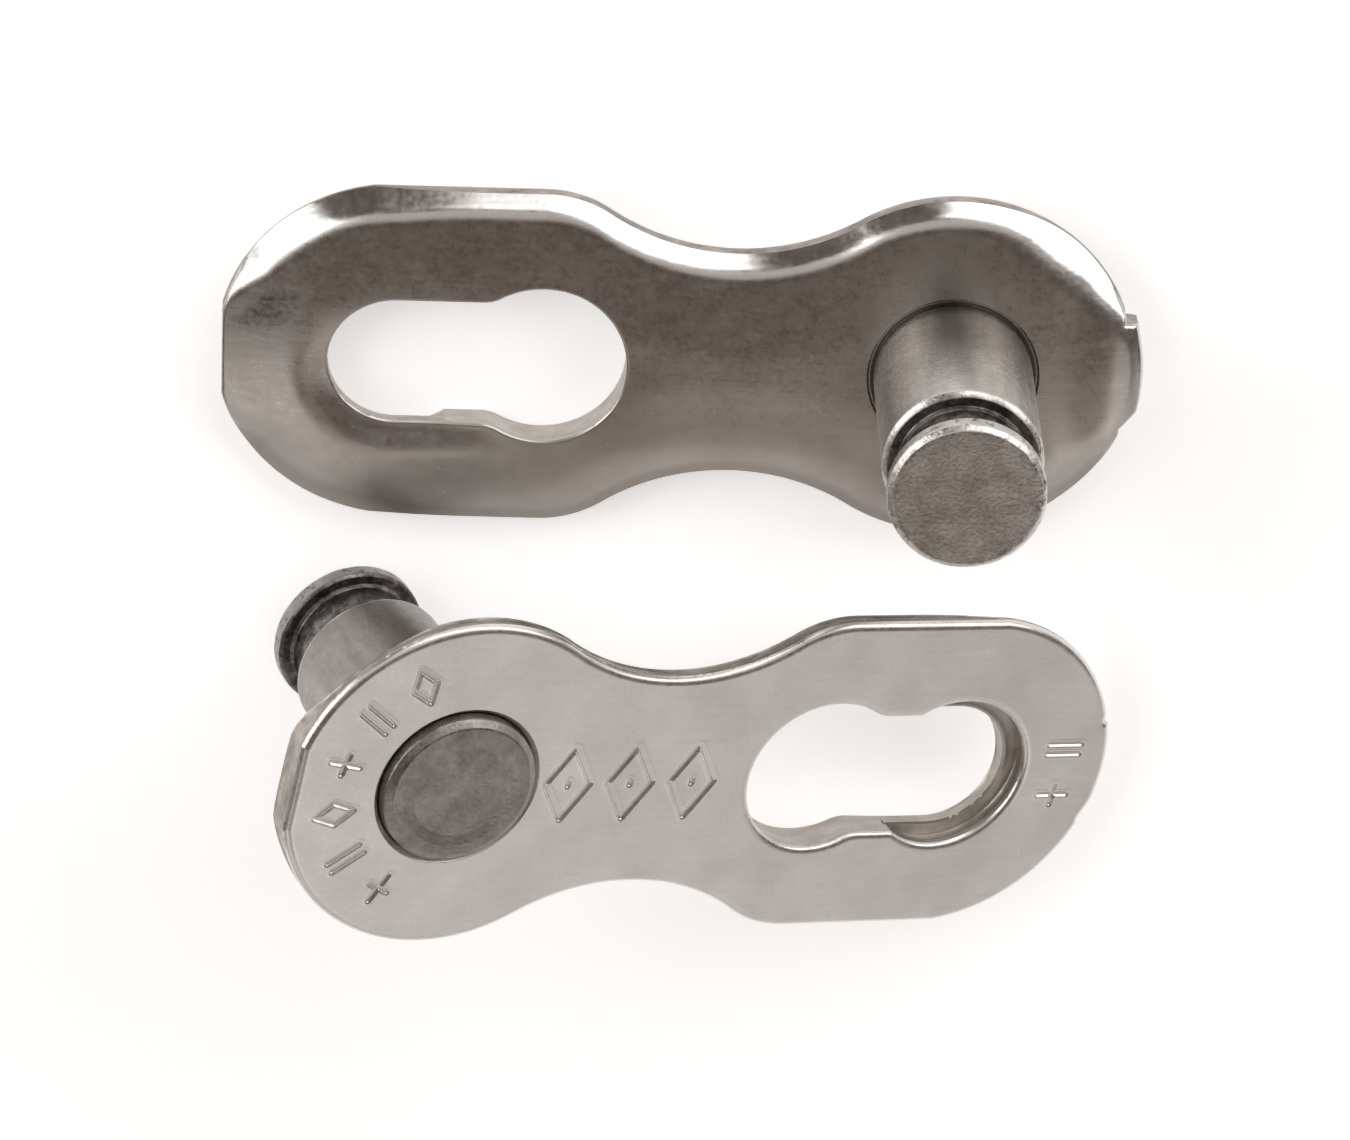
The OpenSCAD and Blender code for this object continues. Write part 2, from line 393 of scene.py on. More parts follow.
# Shape of the faces, in millimetres: crown and bevel of the inner face
CROWN_SLOPE = 0.075
SLOT_TIP_SLOPE = 0.09
PIN_TIP_SLOPE = 0.17
CREST_W = 2.3
PIN_CREST_CUT = 1.6
CROWN_TURN = 0.5
TIP_ANGLE = math.radians(36)
TIP_FADE = math.radians(20)
BEVEL_SINK = 0.09
RIDGE_BLEND = 0.22
CORNER_BLEND = 0.2
KINK_BLEND = 0.05

# The bevel's corners: centre, radius and side of an end, and how wide its corner is
CORNERS = ((0, PIN_END_R, -1, PIN_CORNER_W), (PITCH, SLOT_END_R, 1, CORNER_W))

# The bevel along the flat twists, from this x on
FLAT_TWIST = 0.07
FLAT_TWIST_X = 10.8
TWIST_BLEND = 0.8

# The soft side of half A: less bevel, lower corners, a softer ridge
SOFT_RISE = 1.5
SOFT_BEVEL = 0.2
SOFT_CORNER = 0.3
SOFT_RIDGE = 0.3

# Slot edge that the punch rolled in
ROLL_DROP = 0.02
SEAT_ROLL = 0.19
ROLL_W = 1.05
ROLL_POWER = 1.6

# Rounded edges, as width and depth
FINE_EDGE = (0.06, 0.05)
TIP_EDGE = (0.08, 0.06)
OUTER_EDGE = (0.2, 0.15)
ENTRY_EDGE = (0.16, 0.1)
LEDGE_LIP = 0.03
LEDGE_LIP_W = 0.2


def smooth(x):
    x = np.clip(x, 0, 1)
    return x * x * (3 - 2 * x)


def rise(value, start, width):
    """Nought up to the start, then rising softly to one over the width."""
    return smooth((value - start) / width)


def fade(value, end, width):
    """One, then falling softly over the width to nought at the end."""
    return smooth((end - value) / width)


def soft_min(a, b, blend):
    h = np.clip(0.5 + 0.5 * (b - a) / blend, 0, 1)
    return b + (a - b) * h - blend * h * (1 - h)


def quarter_round(d, width, depth):
    """Drop below a face at distance d from its edge, along a quarter of an ellipse."""
    t = np.clip(1 - d / width, 0, 1)
    return depth * (1 - np.sqrt(1 - t * t))


def hub_distance(points):
    return np.hypot(points[:, 0], points[:, 1])


def end_angle(points):
    """Angle from the long axis, seen from the nearer end's centre."""
    return np.arctan2(abs(points[:, 1]), np.maximum(points[:, 0] - PITCH, -points[:, 0]))


def bevel_rim(points, half):
    """Distance in from the round outline, which turns softly where the flat meets the slot end."""
    x, y = points[:, 0], points[:, 1]
    rim = distance(half["round"], points) * np.where(inside(points, half["rows"]["round"][0]), 1, -1)
    flat, bow = SLOT_END_Y - abs(y), SLOT_END_R - np.hypot(x - PITCH, y)
    return rim - np.where(x > PITCH, np.minimum(flat, bow) - soft_min(flat, bow, KINK_BLEND), 0)


def crowned_face(x, y, rim, slot):
    """Height of the face, which falls towards the rim all round and more steeply at both tips."""
    slot_tip, pin_tip = rise(x, PITCH - 0.2, 3.6), rise(-x, 2.2, 1.6)
    crest = CREST_W - PIN_CREST_CUT * pin_tip
    slope = CROWN_SLOPE + SLOT_TIP_SLOPE * slot_tip + PIN_TIP_SLOPE * pin_tip
    height = PLATE_T - slope * CROWN_TURN * (np.logaddexp(0, 4 * ((crest - rim) / CROWN_TURN)) / 4)
    # the slot's edge is rolled in, most of all round one side of the seat
    seat = rise(x, ENTRY_X - 0.5, SLIDE_TRAVEL) * smooth(0.6 + y / 2.6)
    height -= (ROLL_DROP + SEAT_ROLL * seat) * (1 - smooth(slot / ROLL_W)) ** ROLL_POWER
    return height - quarter_round(slot, *FINE_EDGE)


def coined_bevel(x, y, rim, tip, soft):
    """Height of the bevel, which fades out at the tips and has straighter corners."""
    fall = (BEVEL_D - SOFT_BEVEL * soft) * (1 - rim / BEVEL_W)
    height = PLATE_T - BEVEL_SINK - fall + BEVEL_D * tip
    run = soft_min(np.maximum(x - FLAT_TWIST_X, 0), FLAT_END_X - FLAT_TWIST_X, TWIST_BLEND)
    height -= FLAT_TWIST / 2 * np.maximum(run, 0) ** 2
    for centre_x, radius, way, wide in CORNERS:
        along = way * (x - centre_x) * math.cos(CORNER_ANGLE) + abs(y) * math.sin(CORNER_ANGLE)
        plane = PLATE_T - BEVEL_SINK - CORNER_D / wide * (along - radius + wide) + SOFT_CORNER * soft
        height = soft_min(height, plane, CORNER_BLEND)
    return height


def inner_parts(points, half):
    """Heights of the face and the bevel, and a point's share of a tip and of the soft side."""
    x, y = points[:, 0], points[:, 1]
    rim = bevel_rim(points, half)
    tip = fade(end_angle(points), TIP_ANGLE, TIP_FADE)
    soft = smooth(y / SOFT_RISE) * half["soft_side"]
    face = crowned_face(x, y, rim, distance(half["slot"], points))
    return face, coined_bevel(x, y, rim, tip, soft), tip, soft


def inner_face(points, half):
    """Height of the inner face: crowned, beveled all round but at the tips, and rolled into the slot."""
    face, bevel, tip, soft = inner_parts(points, half)
    height = soft_min(face, bevel, RIDGE_BLEND + SOFT_RIDGE * soft)
    height -= tip * quarter_round(distance(half["outline"], points), *TIP_EDGE)
    return height - SEAT_DEPTH * fade(hub_distance(points), SHANK_D / 2 + SEAT_GAP + 0.02, 0.05)


def bevel_share(points, half):
    """One on the bevel of the inner face and nought on the face."""
    face, bevel, _, _ = inner_parts(points, half)
    return smooth(0.5 + (face - bevel) / RIDGE_BLEND)


def outer_face(points, half):
    """Height of the outer face: rounded edges, the pin's countersink and the stamped marks."""
    height = quarter_round(distance(half["outline"], points), *OUTER_EDGE)
    height += quarter_round(distance(half["slot_outside"], points), *ENTRY_EDGE)
    height += np.maximum(0, SINK_R + 0.03 - hub_distance(points))
    stroke = stroke_distance(points) / (MARK_W / 2)
    height += MARK_DEPTH * (1 - smooth(stroke)) ** 0.8
    height -= BURR * np.exp(-((stroke - BURR_AT) / BURR_W) ** 2)
    return height


def ledge_face(points, half):
    """Height of the recess's floor, with the step that the punch left."""
    slot = distance(half["seat_side"], points)
    return RECESS_DEPTH + quarter_round(slot, *FINE_EDGE) - LEDGE_LIP * smooth(1 - slot / LEDGE_LIP_W)


# Meshes

def link(thing):
    bpy.context.scene.collection.objects.link(thing)


# Zones of a plate, which its material tells apart
INNER_FACE, OUTER_FACE, RIM_WALL, SLOT_WALL = 0.0, 1.0, 2.0, 3.0

# Rows of points beside an edge, by their distance from it
RIM_ROWS = [0.012, 0.03, 0.055, 0.085, 0.12, 0.16, 0.2, 0.245, 0.29, 0.33, 0.365, 0.4, 0.435, 0.475,
            0.52, 0.58, 0.66, 0.76, 0.88]
SLOT_ROWS = [0.012, 0.03, 0.055, 0.085, 0.13, 0.19, 0.27, 0.36, 0.47, 0.6, 0.75]
HUB_ROWS = [0.02, 0.05, 0.1, 0.16, 0.22, 0.26, 0.29, 0.305, 0.32, 0.335, 0.35, 0.38, 0.44, 0.52]
LEDGE_ROWS = [0.03, 0.07, 0.12, 0.18, 0.24, 0.3]
OUTER_RIM_ROWS = RIM_ROWS[:-4]
OUTER_SLOT_ROWS = SLOT_ROWS[:-3]
STROKE_RAILS = (-0.15, -0.11, -0.075, -0.035, 0, 0.035, 0.075, 0.11, 0.15)
STROKE_END_RINGS = (0.04, 0.08, 0.12, 0.15)

# Grids on the faces, their margins and the least gaps between points
FIELD_LOW = (-4.6, -4.4)
FIELD_HIGH = (PITCH + 4.6, 4.4)
CORNER_SPOTS = [(x, y) for x in (0.2 - PIN_END_R, PITCH + SLOT_END_R - 0.2)
                for y in (-NOSE_W / 2, NOSE_W / 2)]
CORNER_REACH = np.array([0.35, 0.3])
GRID_MARGIN = 0.06
ROW_SLACK = 0.004
MARK_MARGIN = 0.16
MARK_GRID_MARGIN = 0.19
RIDGE_RIM = 0.29
THIN_GAP = 0.009
RAIL_GAP = 0.022

# How slopes are measured
SLOPE_STEP = 0.004
RIM_NEAR = 0.004
RIM_INSET = 0.012
BLOCK = 2000


class Shell:
    """Collects points and faces of one piece, in the half's own millimetres."""

    def __init__(self):
        self.points, self.faces, self.zones, self.normals, self.bevels, self.count = [], [], [], [], [], 0

    def add(self, points, faces, zone, normals=None, bevel=None):
        """Without normals, Blender works them out."""
        self.points.append(np.asarray(points, float))
        self.faces.append(np.asarray(faces, int) + self.count)
        self.zones.append(np.full(len(faces), zone, float))
        self.normals.append(np.zeros((len(points), 3)) if normals is None else normals)
        self.bevels.append(np.zeros(len(points)) if bevel is None else bevel)
        self.count += len(points)


def rows_beside(chain, side, offsets, points_ok):
    """Rows of points beside a chain, where points_ok allows them."""
    points, normals = chain
    rows = []
    for d in offsets:
        row = points + side * normals * d
        rows.append(row[points_ok(row, d)])
    return np.concatenate(rows)


def stroke_rails():
    """Points along and beside the stamped strokes, so that the mesh follows them."""
    rails = []
    for start, end in STROKES:
        run = end - start
        length = np.linalg.norm(run)
        run = run / length
        across = np.array([-run[1], run[0]])
        t = np.linspace(0, length, max(2, round(length / STROKE_STEP) + 1))[:, None]
        for side in STROKE_RAILS:
            rails.append(start + run * t + across * side)
        for end_point, way in ((start, -1), (end, 1)):
            a = np.linspace(-1.2, 1.2, 7)[:, None]
            for r in STROKE_END_RINGS:
                rails.append(end_point + way * r * (run * np.cos(a) + across * np.sin(a)))
    return np.concatenate(rails)


def thinned(points, gap):
    """Drops points that share a small square with an earlier one."""
    keys = np.floor(points / gap).astype(int)
    _, first = np.unique(keys, axis=0, return_index=True)
    return points[np.sort(first)]


def grid(low, high, step):
    """Points of a grid of equal triangles."""
    rows = np.arange(low[1], high[1], step * math.sqrt(3) / 2)
    out = []
    for k, y in enumerate(rows):
        x = np.arange(low[0] + (k % 2) * step / 2, high[0], step)
        out.append(np.stack([x, np.full(len(x), y)], 1))
    return np.concatenate(out)


def slope_normals(xy, height, upward, rims):
    """Directions square to a height surface. Points on a rim take the slope just inside it.
    rims are pairs of points and the directions that lead into the metal."""
    spots = xy.copy()
    edge_points = np.concatenate([points for points, _ in rims])
    inward = np.concatenate([way for _, way in rims])
    for start in range(0, len(xy), BLOCK):
        block = xy[start:start + BLOCK]
        gap = ((block[:, None] - edge_points[None]) ** 2).sum(2)
        near = gap.argmin(1)
        on_rim = gap.min(1) < RIM_NEAR ** 2
        spots[start:start + BLOCK][on_rim] += RIM_INSET * inward[near[on_rim]]
    e = SLOPE_STEP
    fall_x = (height(spots + (e, 0)) - height(spots - (e, 0))) / (2 * e)
    fall_y = (height(spots + (0, e)) - height(spots - (0, e))) / (2 * e)
    normals = np.column_stack([-fall_x, -fall_y, np.ones(len(xy))])
    normals /= np.linalg.norm(normals, axis=1)[:, None]
    return normals if upward else -normals


def mesh_face(shell, rims, extra, height, zone, upward, share=None):
    """Fills the outline of rims[0], less the rims after it, with triangles at the given height."""
    chains = [points for points, _ in rims]
    edges, start = [], 0
    for loop in chains:
        n = len(loop)
        edges += [(start + k, start + (k + 1) % n) for k in range(n)]
        start += n
    flat = np.concatenate(chains + [extra])
    verts, _, tris, _, _, _ = delaunay_2d_cdt([Vector(p) for p in flat], edges, [], 0, 1e-6, False)
    xy = np.array([tuple(v) for v in verts])
    tris = np.array(tris)
    middle = xy[tris].mean(1)
    keep = inside(middle, chains[0])
    for hole in chains[1:]:
        keep &= ~inside(middle, hole)
    tris = tris[keep]
    a, b, c = (xy[tris[:, k]] for k in range(3))
    turn = (b[:, 0] - a[:, 0]) * (c[:, 1] - a[:, 1]) - (b[:, 1] - a[:, 1]) * (c[:, 0] - a[:, 0])
    wrong = (turn > 0) != upward
    tris[wrong] = tris[wrong][:, ::-1]
    normals = slope_normals(xy, height, upward, rims)
    shell.add(np.column_stack([xy, height(xy)]), tris, zone, normals, share(xy) if share else None)


def strips(n, count, closed=True):
    """Triangles between rows of points, count rows of n points each."""
    i = np.arange(n if closed else n - 1)
    j = (i + 1) % n
    quads = np.concatenate([
        np.stack([k * n + i, k * n + j, (k + 1) * n + j, (k + 1) * n + i], 1) for k in range(count - 1)])
    return np.concatenate([quads[:, [0, 1, 2]], quads[:, [0, 2, 3]]])


def mesh_wall(shell, points, normals, low, high, closed, rough, zone):
    """Wall between two heights along a chain of points. normals point away from the metal."""
    t = np.linspace(0, 1, WALL_ROWS)
    n = len(points)
    depth = rough(points, t) if rough else np.zeros((WALL_ROWS, n))
    rows = []
    for k in range(WALL_ROWS):
        xy = points - normals * depth[k][:, None]
        rows.append(np.column_stack([xy, low + (high - low) * t[k]]))
    shell.add(np.concatenate(rows), strips(n, WALL_ROWS, closed), zone)


WAVE_LENGTHS = (0.18, 0.27, 0.41, 0.66, 1.1)
CUT_DEPTH = 0.006
TORN_DEPTH = 0.012
TORN_STREAKS = 0.02


def wave(seed, points, t):
    """Streaks that a punch leaves along a wall: a sum of waves."""
    rng = np.random.default_rng(seed)
    along = np.cumsum(np.r_[0, np.linalg.norm(np.diff(points, axis=0), axis=1)])
    out = np.zeros((len(t), len(points)))
    for length in WAVE_LENGTHS:
        phase, lean = rng.uniform(0, 2 * math.pi), rng.uniform(-0.6, 0.6)
        out += np.sin(2 * math.pi * (along[None] / length + lean * t[:, None]) + phase)
    return out / len(WAVE_LENGTHS)


def shear_wall(seed, smooth_part):
    """Inward depth of a sheared wall: fine streaks where it was cut, and torn deeper beyond."""
    def depth(points, t):
        streaks = 0.5 + 0.5 * wave(seed, points, t)
        tears = 0.5 + 0.5 * wave(seed + 1, points, 2 * t)
        torn = smooth((t - smooth_part) / 0.2)[:, None]
        at_edges = (smooth(t / 0.15) * smooth((1 - t) / 0.15))[:, None]
        return at_edges * (CUT_DEPTH * streaks + torn * (TORN_DEPTH + TORN_STREAKS * tears))
    return depth


def hole_rim(*chains):
    """The chains joined to one rim of a hole, with the directions that lead into the metal."""
    points, normals = (np.concatenate(parts) for parts in zip(*chains))
    return points, -normals


def corner_points(half):
    """Finer points where the noses and the sheared tips meet the round ends."""
    points = [grid(spot - CORNER_REACH, spot + CORNER_REACH, FINE_STEP) for spot in CORNER_SPOTS]
    points = np.concatenate(points)
    return points[inside(points, half["rows"]["outline"][0])]


def ridge_points(half):
    """Finer points along the ridge between inner face and bevel."""
    points = grid(FIELD_LOW, FIELD_HIGH, RIDGE_STEP)
    face, bevel, _, _ = inner_parts(points, half)
    points = points[(abs(face - bevel) < RIDGE_BAND) & (distance(half["outline"], points) > RIDGE_RIM)]
    return points[inside(points, half["rows"]["outline"][0])]


def face_points(half, slot_edge, hole, rim_rows, slot_rows, patches, field):
    """Points inside a face: rows along its edges, finer patches, and a field between them."""
    outline = half["rows"]["outline"]

    def beside_outline(row, d):
        free = distance(half["outline"], row) > d - ROW_SLACK
        return free & (distance(half["slot"], row) > 0.02) & (hub_distance(row) > TAIL_R)

    def beside_slot(row, d):
        return (distance(half[slot_edge], row) > d - ROW_SLACK) & ~inside(row, hole)

    free = inside(field, outline[0]) & (distance(half["outline"], field) > RIM_ROWS[-1] + GRID_MARGIN)
    free &= hub_distance(field) > TAIL_R + HUB_ROWS[-1] + GRID_MARGIN
    free &= (distance(half[slot_edge], field) > slot_rows[-1] + GRID_MARGIN) & ~inside(field, hole)
    return np.concatenate([
        rows_beside(outline, 1, rim_rows, beside_outline),
        rows_beside(half["rows"][slot_edge], -1, slot_rows, beside_slot),
        rows_beside(HUB, -1, HUB_ROWS, lambda row, d: slice(None)),
        *patches,
        field[free],
    ])


def off_the_edge(points, half):
    """Points that are far enough from the outline and from each other."""
    return thinned(points[distance(half["outline"], points) > 0.01], THIN_GAP)


def plate_faces(shell, half):
    """Inner and outer face."""
    rows = half["rows"]
    hub_rim = hole_rim(HUB)
    corners = corner_points(half)
    field = grid(FIELD_LOW, FIELD_HIGH, GRID_STEP)

    rim = hole_rim(rows["entry_side"], rows["seat_side"])
    patches = (corners, ridge_points(half))
    points = face_points(half, "slot", rim[0], RIM_ROWS, SLOT_ROWS, patches, field)
    mesh_face(shell, [rows["outline"], rim, hub_rim], off_the_edge(points, half),
              lambda p: inner_face(p, half), INNER_FACE, True, lambda p: bevel_share(p, half))

    rim = hole_rim(rows["entry_side"], rows["recess"])
    field = field[stroke_distance(field) > MARK_GRID_MARGIN]
    points = face_points(half, "slot_outside", rim[0], OUTER_RIM_ROWS, OUTER_SLOT_ROWS, (corners,), field)
    points = points[stroke_distance(points) > MARK_MARGIN]
    points = np.concatenate([points, thinned(stroke_rails(), RAIL_GAP)])
    mesh_face(shell, [rows["outline"], rim, hub_rim], off_the_edge(points, half),
              lambda p: outer_face(p, half), OUTER_FACE, False)


def recess_floor(shell, half):
    seat = half["rows"]["seat_side"]
    loop = np.concatenate([half["rows"]["recess"][0], chain_end(half["recess"]), seat[0][:0:-1]])
    points = rows_beside(seat, -1, LEDGE_ROWS, lambda row, d: distance(half["recess"], row) > 0.03)
    points = points[inside(points, loop)]
    mesh_face(shell, [(loop, np.zeros_like(loop))], points, lambda p: ledge_face(p, half), SLOT_WALL, False)


def plate_walls(shell, half):
    """Sheared walls at the outline, slot and recess, and a plain one at the pin's tail."""
    def between_faces(points, normals, rough):
        low, high = outer_face(points, half), inner_face(points, half)
        mesh_wall(shell, points, normals, low, high, True, rough, RIM_WALL)

    points, normals = half["rows"]["outline"]
    between_faces(points, -normals, shear_wall(3, 0.4))
    for side, seed in (("entry_side", 11), ("seat_side", 17), ("recess", 23)):
        points, normals = half["rows"][side]
        points = np.concatenate([points, chain_end(half[side])])
        normals = np.concatenate([normals, normals[-1:]])
        low = ledge_face(points, half) if side == "seat_side" else outer_face(points, half)
        high = ledge_face(points, half) if side == "recess" else inner_face(points, half)
        mesh_wall(shell, points, normals, low, high, False, shear_wall(seed, 0.35), SLOT_WALL)
    between_faces(*HUB, None)


def plate_shell(half):
    """The whole plate."""
    shell = Shell()
    plate_faces(shell, half)
    recess_floor(shell, half)
    plate_walls(shell, half)
    return shell


def weld(mesh):
    """Joins the zones at their edges, which stay sharp, as other hard edges do."""
    work = bmesh.new()
    work.from_mesh(mesh)
    bmesh.ops.remove_doubles(work, verts=work.verts, dist=MERGE_GAP)
    bmesh.ops.delete(work, geom=[v for v in work.verts if not v.link_faces], context="VERTS")
    bmesh.ops.recalc_face_normals(work, faces=work.faces)
    zone = work.loops.layers.float["zone"]
    for face in work.faces:
        face.smooth = True
    for edge in work.edges:
        kinds = {face.loops[0][zone] for face in edge.link_faces}
        edge.smooth = len(kinds) == 1 and edge.calc_face_angle(0) < HARD_ANGLE
    work.to_mesh(mesh)
    work.free()


def add_attribute(mesh, name, domain, values):
    kind, field = ("FLOAT_VECTOR", "vector") if values.ndim == 2 else ("FLOAT", "value")
    attribute = mesh.attributes.new(name, kind, domain)
    attribute.data.foreach_set(field, values.ravel().astype(np.float32))


def build_object(name, shell, place):
    """Makes the mesh in metres at its place. Its materials read the half's own millimetres."""
    points = np.concatenate(shell.points)
    faces = np.concatenate(shell.faces)
    turn = np.array(place.to_3x3()) / MM
    normals = (np.concatenate(shell.normals) @ turn.T)[faces.ravel()]
    mesh = bpy.data.meshes.new(name)
    world = (np.column_stack([points, np.ones(len(points))]) @ np.array(place).T)[:, :3]
    mesh.from_pydata(world.tolist(), [], faces.tolist())
    mesh.update()
    add_attribute(mesh, "half_mm", "POINT", points)
    add_attribute(mesh, "bevel", "CORNER", np.concatenate(shell.bevels)[faces.ravel()])
    add_attribute(mesh, "zone", "CORNER", np.repeat(np.concatenate(shell.zones), 3))
    add_attribute(mesh, "exact_normal", "CORNER", normals)
    weld(mesh)
    normals = np.zeros(3 * len(mesh.loops), np.float32)
    mesh.attributes["exact_normal"].data.foreach_get("vector", normals)
    mesh.attributes.remove(mesh.attributes["exact_normal"])
    mesh.normals_split_custom_set(normals.reshape(-1, 3).tolist())
    piece = bpy.data.objects.new(name, mesh)
    link(piece)
    return piece


# Pins, turned about the z axis

WEAR_WAVES = (3, 7, 13, 22, 37, 58)
PIN_WEAR = 0.003
HEAD_WEAR = 0.012
EDGE_WEAR = 0.01


def rounded(points, step):
    """Points along a profile whose corners are rounded: each entry is (r, z, radius of the corner)."""
    out = []
    for k, (r, z, radius) in enumerate(points):
        p = np.array([r, z])
        if radius == 0 or k in (0, len(points) - 1):
            out.append([p])
            continue
        before = np.array(points[k - 1][:2]) - p
        after = np.array(points[k + 1][:2]) - p
        before, after = before / np.linalg.norm(before), after / np.linalg.norm(after)
        half_angle = math.acos(np.clip(before @ after, -1, 1)) / 2
        reach = radius / math.tan(half_angle)
        t = np.linspace(0, 1, 9)[:, None]
        a, b = p + before * reach, p + after * reach
        out.append((1 - t) ** 2 * a + 2 * t * (1 - t) * p + t * t * b)
    corners = np.concatenate(out)
    filled = [corners[:1]]
    for a, b in zip(corners, corners[1:]):
        n = max(1, math.ceil(np.linalg.norm(b - a) / step))
        filled.append(a + (b - a) * (np.arange(1, n + 1)[:, None] / n))
    return np.concatenate(filled)


def pin_profile():
    """Profile from the middle of the rivet head, round the outside, to the middle of the pin's head."""
    seat_z = PLATE_T - SEAT_DEPTH
    rivet_r, shank_r, groove_r = RIVET_D / 2, SHANK_D / 2, GROOVE_D / 2
    return rounded([
        # shallow dish, edge and countersink of the rivet head
        (0, -RIVET_H + 0.02, 0), (0.8, -RIVET_H + 0.022, 0.2), (1.15, -RIVET_H + 0.03, 0.2),
        (1.42, -RIVET_H, 0.12), (rivet_r - 0.2, -RIVET_H, 0.1), (rivet_r - 0.03, -RIVET_H + 0.13, 0.06),
        (rivet_r, RIVET_GAP, 0.02), (TAIL_R, SINK_R - TAIL_R, 0),
        # shank
        (TAIL_R, seat_z, 0), (shank_r - 0.02, seat_z, 0.02), (shank_r, seat_z + 0.1, 0.03),
        (shank_r, GROOVE_Z - 0.13, 0.06), (shank_r - 0.12, GROOVE_Z - 0.01, 0.04),
        # groove
        (groove_r + 0.05, GROOVE_Z, 0.05), (groove_r, GROOVE_Z + 0.12, 0.06),
        (groove_r, HEAD_Z - 0.06, 0.05), (groove_r + 0.08, HEAD_Z, 0.04),
        # head
        (HEAD_R - 0.07, HEAD_Z, 0.04), (HEAD_R, HEAD_Z + 0.07, 0.05),
        (HEAD_R, TOP_Z - 0.12, 0.07), (HEAD_R - 0.12, TOP_Z, 0.1), (0, TOP_Z, 0),
    ], PROFILE_STEP)


def wear(r, z, a, seed):
    """Inward wear of a pin's surface, from waves round it and along it."""
    rng = np.random.default_rng(seed)
    total = np.zeros(np.broadcast(r, a).shape)
    for k in WEAR_WAVES:
        phase, drift = rng.uniform(0, 2 * math.pi), rng.uniform(-3, 3)
        total += np.sin(k * a + phase + drift * z) / math.sqrt(k)
    return 0.5 + 0.5 * np.tanh(total)


def pin_shell(seed):
    """A whole pin, worn a little all over and more at its head's edge."""
    profile = pin_profile()
    a = 2 * math.pi * np.arange(PIN_TURNS) / PIN_TURNS
    r, z = profile[1:-1, 0][:, None], profile[1:-1, 1][:, None]
    depth = PIN_WEAR + HEAD_WEAR * rise(z, HEAD_Z, 0.1)
    at_edge = np.exp(-((z - TOP_Z + 0.05) / 0.08) ** 2)
    wide = r - depth * wear(r, z, a, seed) * np.where(r > 1, 1, 0)
    wide = wide - EDGE_WEAR * at_edge * wear(r, z, a, seed + 5)
    rows = np.stack([wide * np.cos(a), wide * np.sin(a), np.broadcast_to(z, wide.shape)], 2)
    n, m = PIN_TURNS, len(rows)
    points = np.concatenate([rows.reshape(-1, 3), [[0, 0, profile[0, 1]], [0, 0, profile[-1, 1]]]])
    i = np.arange(n)
    j = (i + 1) % n
    tris = np.concatenate([
        strips(n, m),
        np.stack([j, i, np.full(n, m * n)], 1),
        np.stack([(m - 1) * n + i, (m - 1) * n + j, np.full(n, m * n + 1)], 1)])
    shell = Shell()
    shell.add(points, tris, 0)
    return shell


# Placement of a half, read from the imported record's mount on its pin

def placement(mount_name):
    mount = next(m for m in frame["record"]["mounts"] if m["name"] == mount_name)
    up = Vector(mount["axis"]).normalized()
    across = Vector((0, 0, 1)).cross(up).normalized()
    along = across.cross(up)
    origin = Vector(mount["pos_m"]) - up * (PLATE_T + SHANK_L / 2) * MM
    rot = Matrix((along, across, up)).transposed().to_4x4()
    return Matrix.Translation(origin) @ rot @ Matrix.Scale(MM, 4)


# Materials

BUMP_STRENGTH = 0.6
NICKEL_BUMP = 0.000014
STEEL_BUMP = 0.000016
WALL_TONE = 0.4
STAIN_X = 15.65
STAIN_Y = -1.15
STAIN_AXIS = (-0.81, -0.59)
STAIN_LONG = 0.85
STAIN_WIDE = 0.38


def grey(value, warm):
    return (value * (1 + warm), value, value * (1 - warm), 1)


